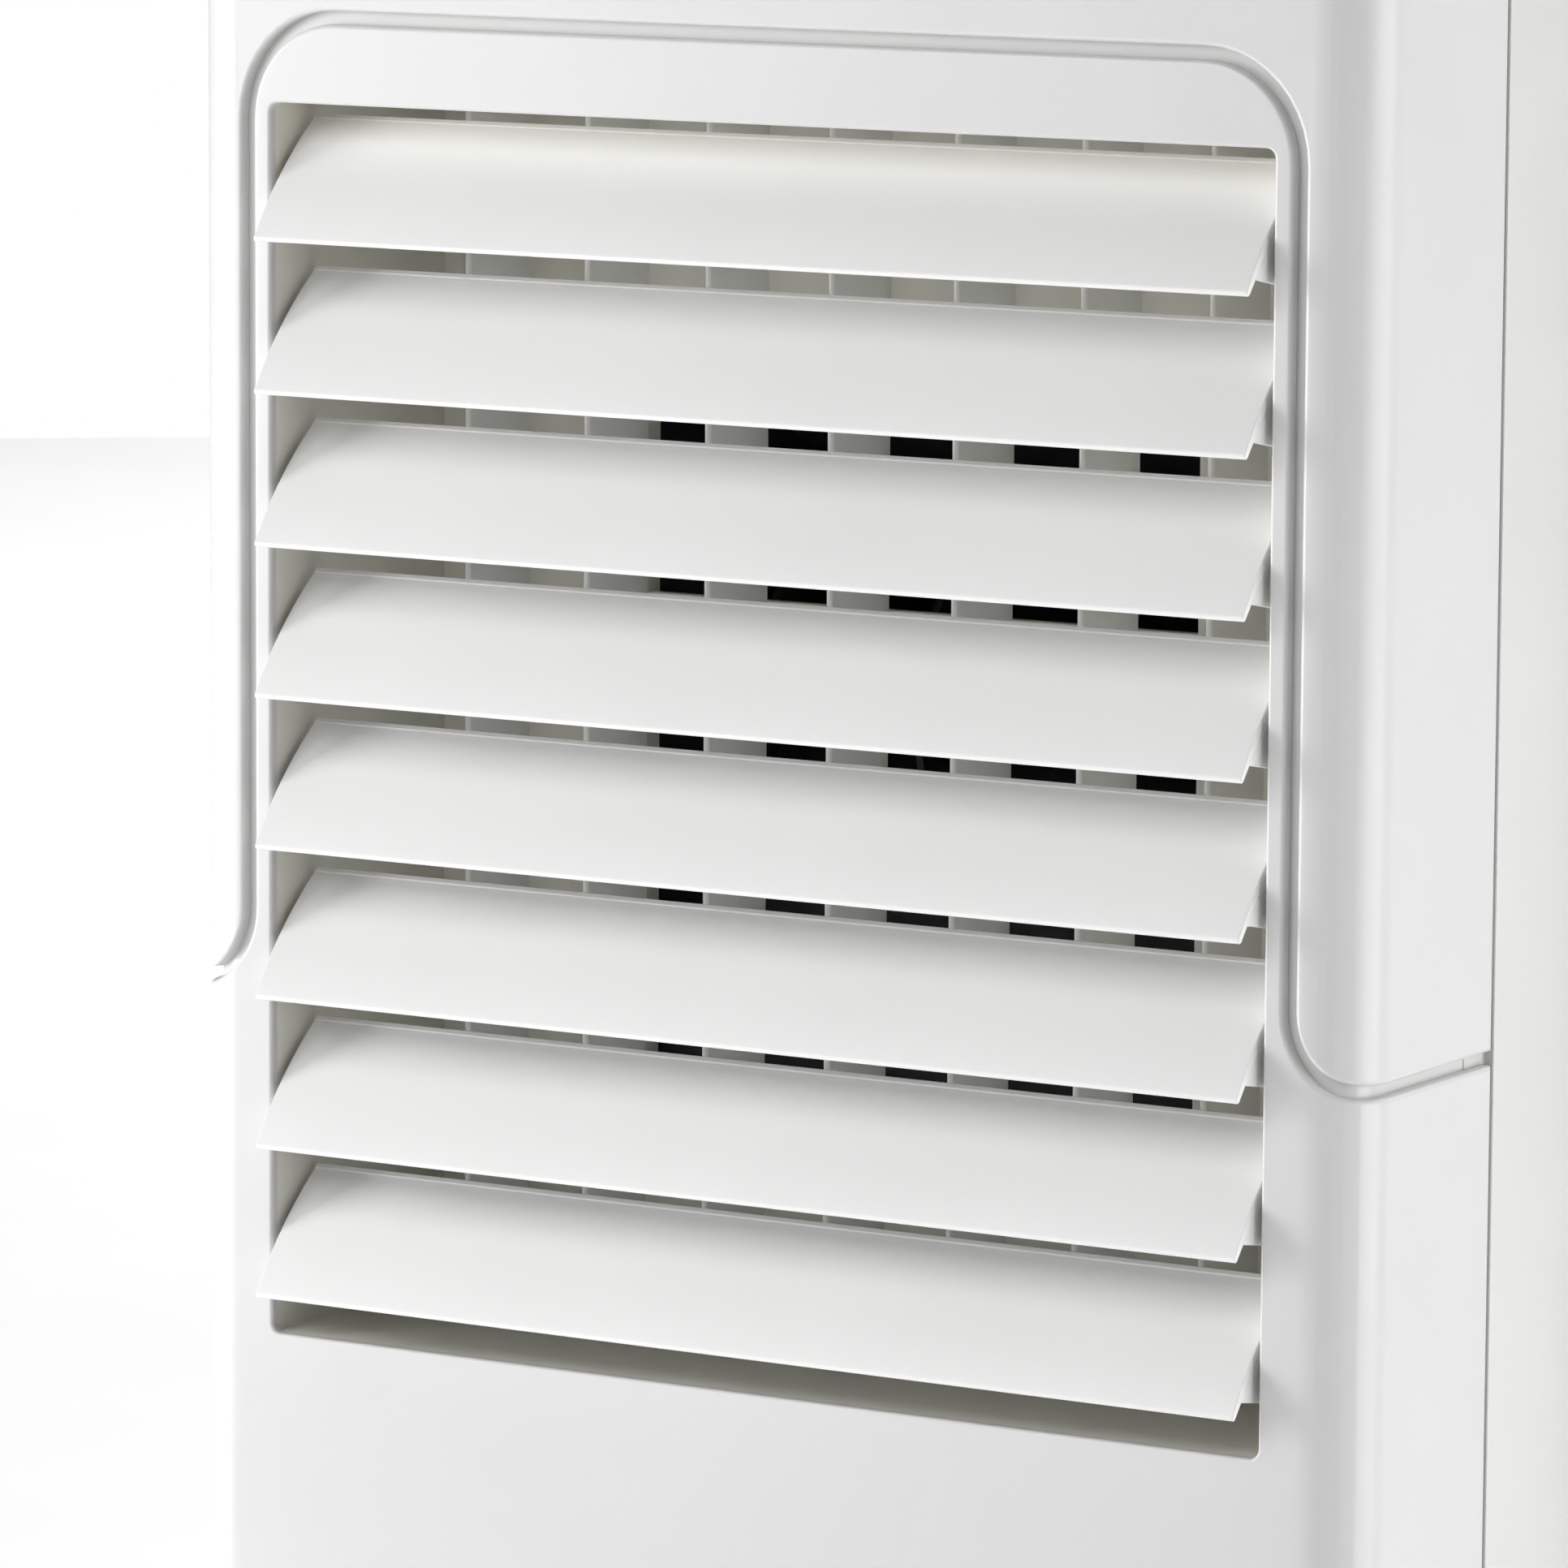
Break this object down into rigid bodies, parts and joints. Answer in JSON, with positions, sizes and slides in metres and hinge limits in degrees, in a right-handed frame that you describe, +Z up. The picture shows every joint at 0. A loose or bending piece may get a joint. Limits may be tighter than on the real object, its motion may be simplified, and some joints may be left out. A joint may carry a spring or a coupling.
{
  "type": "window air conditioner",
  "caption": "Tall slim window air conditioner in white plastic with a large louvred outlet under an arched panel, an intake grille below, and side rails for a window frame.",
  "frame": {"origin": "on the floor under the middle of the bounding box, at the underside of the feet", "axes": "+Z up, the louvred front faces -Y, +X is to the right of someone facing the front"},
  "size_m": [0.38, 0.339, 0.77],
  "materials": {
    "white_cover": "satin-gloss moulded white, very fine grain",
    "painted_steel": "off-white powder coat with a light orange peel",
    "grey_white_plastic": "satin off-white moulding",
    "zinc_steel": "zinc-plated sheet",
    "rubber": "dull black",
    "duct_grey": "satin light grey moulding",
    "black_plastic": "dull black moulding",
    "motor_dark": "dark enamel over steel",
    "bright_steel": "bright plated steel",
    "fin_aluminium": "thin plain fins",
    "copper_tube": "drawn copper, lightly tarnished",
    "compressor_black": "thick black enamel",
    "circuit_green": "solder mask over glass fibre",
    "display_dark": "polished smoked window",
    "button_white": "satin white caps",
    "filter_grey": "open mesh in a moulded frame",
    "link_white": "plain moulded bars",
    "louvre_white": "satin off-white moulding",
    "vane_white": "satin off-white moulding"
  },
  "bodies": {
    "cabinet": {"front_cover": "white_cover", "upper_shell": "white_cover", "rear_cabinet": "painted_steel", "rear_panel": "painted_steel", "rear_grille": "grey_white_plastic", "base_pan": "zinc_steel", "feet": "rubber", "bulkhead": "zinc_steel", "outlet_duct": "duct_grey", "blower_housing": "black_plastic", "blower_bearing": "zinc_steel", "blower_motor": "motor_dark", "fan_shroud": "black_plastic", "fan_motor": "motor_dark", "evaporator_coil": "fin_aluminium", "evaporator_bends": "copper_tube", "condenser_coil": "fin_aluminium", "condenser_bends": "copper_tube", "compressor": "compressor_black", "compressor_grommets": "rubber", "accumulator": "compressor_black", "refrigerant_pipes": "copper_tube", "drain_tray": "duct_grey", "electrical_box": "zinc_steel", "run_capacitor": "fin_aluminium", "control_board": "circuit_green", "control_panel": "grey_white_plastic", "display_window": "display_dark", "intake_grille": "white_cover", "swing_motor": "motor_dark", "cord_gland": "rubber", "side_rails": "zinc_steel", "screws": "bright_steel"},
    "blower": {"blower_shaft": "bright_steel", "blower_wheel": "black_plastic"},
    "fan": {"fan_shaft": "bright_steel", "condenser_fan": "black_plastic"},
    "filter": {"air_filter": "filter_grey"},
    "louvre_link": {"louvre_link": "link_white"},
    "vane_link": {"vane_link": "link_white"},
    "button_power": {"button_power": "button_white"},
    "button_mode": {"button_mode": "button_white"},
    "button_fan": {"button_fan": "button_white"},
    "button_cooler": {"button_cooler": "button_white"},
    "button_warmer": {"button_warmer": "button_white"},
    "louvre_1": {"louvre_1": "louvre_white"},
    "louvre_2": {"louvre_2": "louvre_white"},
    "louvre_3": {"louvre_3": "louvre_white"},
    "louvre_4": {"louvre_4": "louvre_white"},
    "louvre_5": {"louvre_5": "louvre_white"},
    "louvre_6": {"louvre_6": "louvre_white"},
    "louvre_7": {"louvre_7": "louvre_white"},
    "louvre_8": {"louvre_8": "louvre_white"},
    "vane_1": {"vane_1": "vane_white"},
    "vane_2": {"vane_2": "vane_white"},
    "vane_3": {"vane_3": "vane_white"},
    "vane_4": {"vane_4": "vane_white"},
    "vane_5": {"vane_5": "vane_white"},
    "vane_6": {"vane_6": "vane_white"},
    "vane_7": {"vane_7": "vane_white"}
  },
  "joints": [
    {"name": "louvre_1_tilt", "type": "hinge", "parent": "cabinet", "child": "louvre_1", "pos_m": [0, -0.14626, 0.6781], "axis": [1, 0, 0], "range_deg": [-60, 22]},
    {"name": "louvre_2_tilt", "type": "hinge", "parent": "cabinet", "child": "louvre_2", "pos_m": [0, -0.14626, 0.6398], "axis": [1, 0, 0], "range_deg": [-60, 22]},
    {"name": "louvre_3_tilt", "type": "hinge", "parent": "cabinet", "child": "louvre_3", "pos_m": [0, -0.14626, 0.6015], "axis": [1, 0, 0], "range_deg": [-60, 22]},
    {"name": "louvre_4_tilt", "type": "hinge", "parent": "cabinet", "child": "louvre_4", "pos_m": [0, -0.14626, 0.5632], "axis": [1, 0, 0], "range_deg": [-60, 22]},
    {"name": "louvre_5_tilt", "type": "hinge", "parent": "cabinet", "child": "louvre_5", "pos_m": [0, -0.14626, 0.5249], "axis": [1, 0, 0], "range_deg": [-60, 22]},
    {"name": "louvre_6_tilt", "type": "hinge", "parent": "cabinet", "child": "louvre_6", "pos_m": [0, -0.14626, 0.4866], "axis": [1, 0, 0], "range_deg": [-60, 22]},
    {"name": "louvre_7_tilt", "type": "hinge", "parent": "cabinet", "child": "louvre_7", "pos_m": [0, -0.14626, 0.4483], "axis": [1, 0, 0], "range_deg": [-60, 22]},
    {"name": "louvre_8_tilt", "type": "hinge", "parent": "cabinet", "child": "louvre_8", "pos_m": [0, -0.14626, 0.41], "axis": [1, 0, 0], "range_deg": [-60, 22]},
    {"name": "louvre_link_pivot", "type": "hinge", "parent": "louvre_1", "child": "louvre_link", "pos_m": [-0.1485, -0.13753, 0.68028], "axis": [1, 0, 0], "range_deg": [-22, 60]},
    {"name": "vane_1_swing", "type": "hinge", "parent": "cabinet", "child": "vane_1", "pos_m": [-0.1065, -0.10896, 0.5435], "axis": [0, 0, 1], "range_deg": [-30, 30]},
    {"name": "vane_2_swing", "type": "hinge", "parent": "cabinet", "child": "vane_2", "pos_m": [-0.071, -0.10896, 0.5435], "axis": [0, 0, 1], "range_deg": [-30, 30]},
    {"name": "vane_3_swing", "type": "hinge", "parent": "cabinet", "child": "vane_3", "pos_m": [-0.0355, -0.10896, 0.5435], "axis": [0, 0, 1], "range_deg": [-30, 30]},
    {"name": "vane_4_swing", "type": "hinge", "parent": "cabinet", "child": "vane_4", "pos_m": [0, -0.10896, 0.5435], "axis": [0, 0, 1], "range_deg": [-30, 30]},
    {"name": "vane_5_swing", "type": "hinge", "parent": "cabinet", "child": "vane_5", "pos_m": [0.0355, -0.10896, 0.5435], "axis": [0, 0, 1], "range_deg": [-30, 30]},
    {"name": "vane_6_swing", "type": "hinge", "parent": "cabinet", "child": "vane_6", "pos_m": [0.071, -0.10896, 0.5435], "axis": [0, 0, 1], "range_deg": [-30, 30]},
    {"name": "vane_7_swing", "type": "hinge", "parent": "cabinet", "child": "vane_7", "pos_m": [0.1065, -0.10896, 0.5435], "axis": [0, 0, 1], "range_deg": [-30, 30]},
    {"name": "vane_link_pivot", "type": "hinge", "parent": "vane_4", "child": "vane_link", "pos_m": [0, -0.09696, 0.3775], "axis": [0, 0, 1], "range_deg": [-30, 30]},
    {"name": "blower_spin", "type": "hinge", "parent": "cabinet", "child": "blower", "pos_m": [0, 0.01354, 0.5385], "axis": [1, 0, 0], "continuous": true},
    {"name": "fan_spin", "type": "hinge", "parent": "cabinet", "child": "fan", "pos_m": [0, 0.12254, 0.545], "axis": [0, 1, 0], "continuous": true},
    {"name": "filter_slide", "type": "slide", "parent": "cabinet", "child": "filter", "axis": [1, 0, 0], "range_m": [0, 0.33]},
    {"name": "power_press", "type": "slide", "parent": "cabinet", "child": "button_power", "axis": [0, 1, 0], "range_m": [0, 0.0012], "stiffness_N_per_m": 400, "springref_m": -0.001},
    {"name": "mode_press", "type": "slide", "parent": "cabinet", "child": "button_mode", "axis": [0, 1, 0], "range_m": [0, 0.0012], "stiffness_N_per_m": 400, "springref_m": -0.001},
    {"name": "fan_press", "type": "slide", "parent": "cabinet", "child": "button_fan", "axis": [0, 1, 0], "range_m": [0, 0.0012], "stiffness_N_per_m": 400, "springref_m": -0.001},
    {"name": "cooler_press", "type": "slide", "parent": "cabinet", "child": "button_cooler", "axis": [0, 1, 0], "range_m": [0, 0.0012], "stiffness_N_per_m": 400, "springref_m": -0.001},
    {"name": "warmer_press", "type": "slide", "parent": "cabinet", "child": "button_warmer", "axis": [0, 1, 0], "range_m": [0, 0.0012], "stiffness_N_per_m": 400, "springref_m": -0.001}
  ],
  "couplings": [
    {"joint": "louvre_2_tilt", "follows": "louvre_1_tilt", "ratio": 1},
    {"joint": "louvre_3_tilt", "follows": "louvre_1_tilt", "ratio": 1},
    {"joint": "louvre_4_tilt", "follows": "louvre_1_tilt", "ratio": 1},
    {"joint": "louvre_5_tilt", "follows": "louvre_1_tilt", "ratio": 1},
    {"joint": "louvre_6_tilt", "follows": "louvre_1_tilt", "ratio": 1},
    {"joint": "louvre_7_tilt", "follows": "louvre_1_tilt", "ratio": 1},
    {"joint": "louvre_8_tilt", "follows": "louvre_1_tilt", "ratio": 1},
    {"joint": "louvre_link_pivot", "follows": "louvre_1_tilt", "ratio": -1},
    {"joint": "vane_1_swing", "follows": "vane_4_swing", "ratio": 1},
    {"joint": "vane_2_swing", "follows": "vane_4_swing", "ratio": 1},
    {"joint": "vane_3_swing", "follows": "vane_4_swing", "ratio": 1},
    {"joint": "vane_5_swing", "follows": "vane_4_swing", "ratio": 1},
    {"joint": "vane_6_swing", "follows": "vane_4_swing", "ratio": 1},
    {"joint": "vane_7_swing", "follows": "vane_4_swing", "ratio": 1},
    {"joint": "vane_link_pivot", "follows": "vane_4_swing", "ratio": -1}
  ]
}
